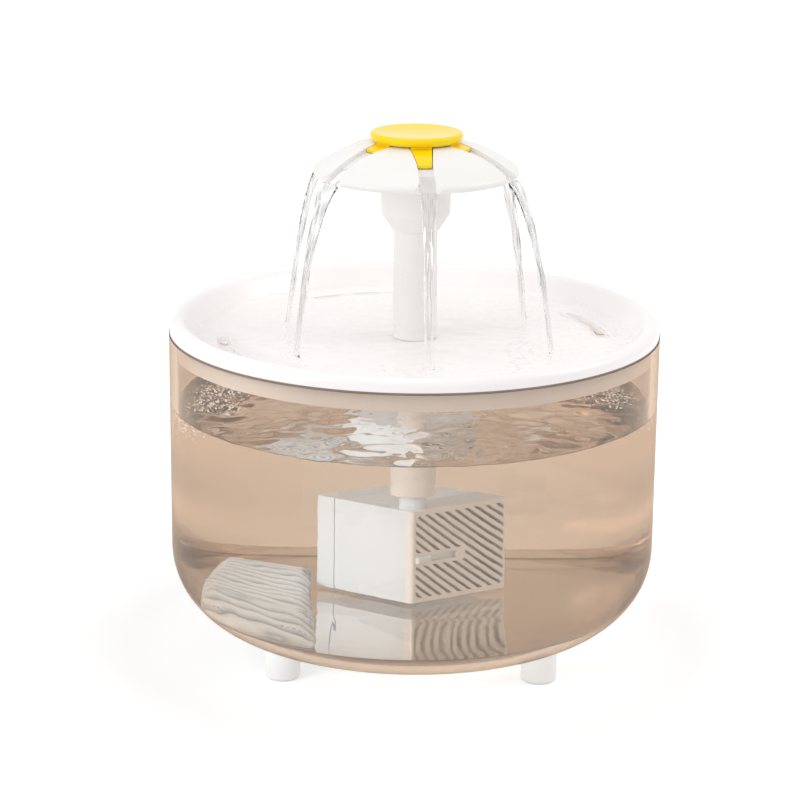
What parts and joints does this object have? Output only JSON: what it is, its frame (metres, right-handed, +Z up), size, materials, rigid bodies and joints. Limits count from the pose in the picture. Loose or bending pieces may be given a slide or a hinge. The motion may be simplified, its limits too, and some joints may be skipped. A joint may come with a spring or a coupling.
{
  "type": "pet water fountain",
  "caption": "Round clear-walled pet water fountain on short feet with a white dish tray, central stem, six-petal flower spout with a yellow cap and a submerged pump.",
  "frame": {"origin": "on the ground under the middle of the tank", "axes": "+Z up along the riser; -Y is the front, towards the open water of the dish; +X is to the right seen from the front"},
  "size_m": [0.185, 0.185, 0.2006],
  "materials": {
    "clear_shell": "clear moulded plastic with a warm tint",
    "clear_floor": "clear moulded plastic",
    "white_body": "white moulded plastic, satin",
    "pump_white": "white moulded plastic, fine texture",
    "yellow_body": "yellow moulded plastic, glossy",
    "grey_rubber": "dark grey silicone",
    "white_rubber": "white silicone",
    "black_rubber": "black rubber",
    "impeller_plastic": "blue moulded plastic",
    "ferrite": "sintered ferrite",
    "ceramic": "polished white ceramic",
    "core_steel": "stacked electrical steel",
    "copper": "varnished copper winding",
    "pad_fabric": "ribbed silver-grey non-woven"
  },
  "bodies": {
    "tank_body": {"tank": "clear_shell", "floor_plate": "clear_floor", "foot_back_left": "white_body", "foot_back_right": "white_body", "foot_front_left": "white_body", "foot_front_right": "white_body", "rim_seal": "grey_rubber"},
    "tray_body": {"tray": "white_body", "riser": "white_body", "riser_gasket": "white_rubber", "riser_nut": "white_body", "collar_o_ring": "black_rubber"},
    "flower_body": {"flower": "white_body", "flower_collar": "white_body"},
    "cap_body": {"cap": "yellow_body"},
    "pump_body": {"pump_housing": "pump_white", "pump_rear_cover": "pump_white", "volute_cover": "pump_white", "stator_core": "core_steel", "stator_coil": "copper", "pump_shaft": "ceramic", "shaft_bushes": "black_rubber", "outlet_nozzle": "pump_white", "nozzle_o_ring": "black_rubber", "cable_gland": "black_rubber", "pump_pads": "white_rubber"},
    "grille_body": {"pump_grille": "pump_white"},
    "slider_body": {"flow_slider": "pump_white"},
    "rotor_body": {"impeller": "impeller_plastic", "rotor_magnet": "ferrite"},
    "pad_body": {"filter_pad": "pad_fabric"}
  },
  "joints": [
    {"name": "tray_lift", "type": "slide", "parent": "tank_body", "child": "tray_body", "axis": [0, 0, 1], "range_m": [0, 0.09]},
    {"name": "flower_lift", "type": "slide", "parent": "tray_body", "child": "flower_body", "axis": [0, 0, 1], "range_m": [0, 0.03]},
    {"name": "cap_lift", "type": "slide", "parent": "flower_body", "child": "cap_body", "axis": [0, 0, 1], "range_m": [0, 0.02]},
    {"name": "pump_lift", "type": "slide", "parent": "tank_body", "child": "pump_body", "axis": [0, 0, 1], "range_m": [0, 0.005]},
    {"name": "grille_pull", "type": "slide", "parent": "pump_body", "child": "grille_body", "axis": [0.7071, -0.7071, 0], "range_m": [0, 0.012]},
    {"name": "flow_slide", "type": "slide", "parent": "grille_body", "child": "slider_body", "axis": [0.7071, 0.7071, 0], "range_m": [0, 0.01]},
    {"name": "impeller_spin", "type": "hinge", "parent": "pump_body", "child": "rotor_body", "pos_m": [-0.00283, 0.01517, 0.0432], "axis": [0.7071, -0.7071, 0], "continuous": true},
    {"name": "pad_lift", "type": "slide", "parent": "tank_body", "child": "pad_body", "axis": [0, 0, 1], "range_m": [0, 0.06]}
  ]
}
